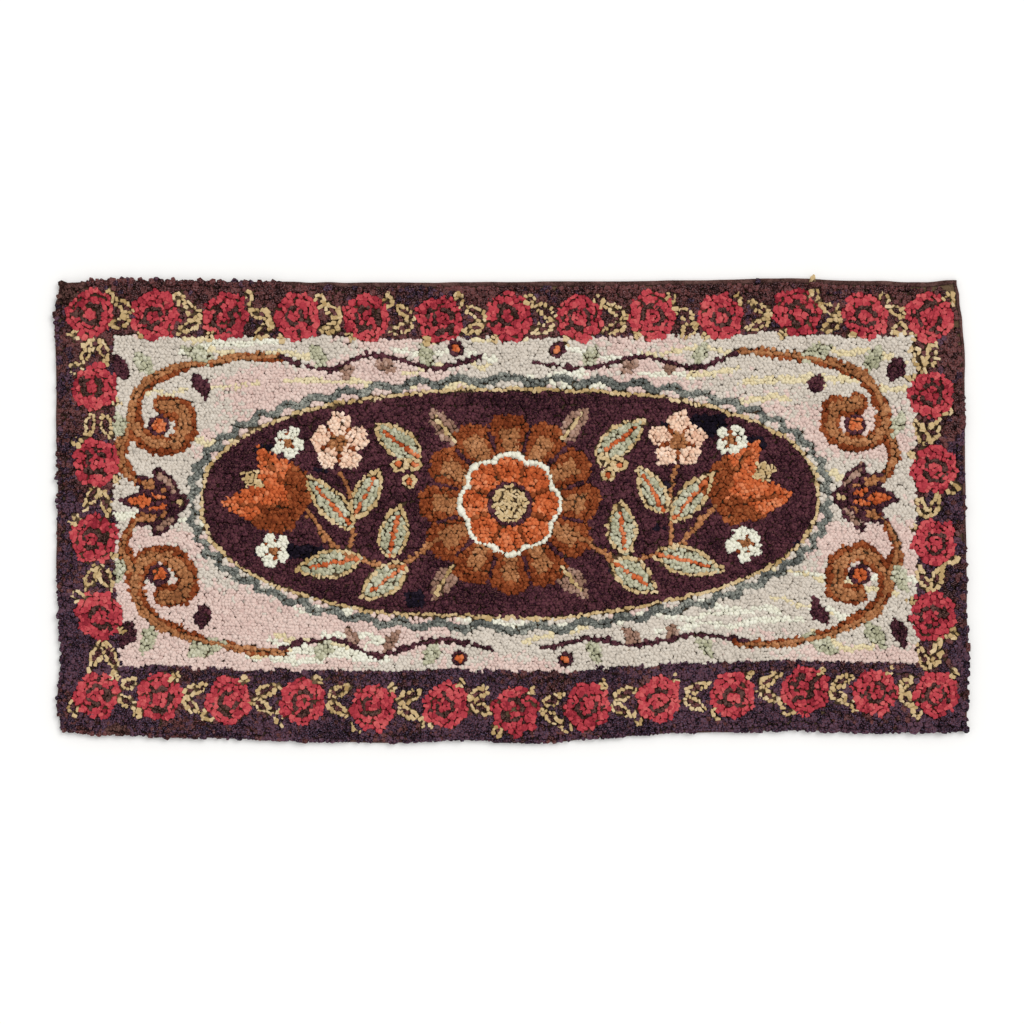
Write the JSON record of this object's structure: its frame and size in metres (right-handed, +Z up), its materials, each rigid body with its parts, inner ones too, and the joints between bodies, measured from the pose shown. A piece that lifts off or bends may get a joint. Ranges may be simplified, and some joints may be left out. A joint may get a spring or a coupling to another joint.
{
  "type": "hooked rug",
  "caption": "Flat hooked rug: rag-strip loops through a foundation cloth, with a rose and leaf border round a leafy field, and an edge bound in tape.",
  "frame": {"origin": "on the floor under the middle of the rug", "axes": "+X along the rug's length, +Y across it towards the top edge, +Z up through the pile"},
  "size_m": [1.2999, 0.662, 0.0114],
  "materials": {
    "rag_loops": "matt wool and cotton rag loops in plum, brown, russet, rose red, straw and pale grey",
    "edge_tape": "matt brown twilled cotton tape"
  },
  "bodies": {
    "root": {"hooked_pile": "rag_loops", "binding_top": "edge_tape", "binding_right": "edge_tape", "binding_bottom": "edge_tape", "binding_left": "edge_tape"}
  },
  "joints": []
}
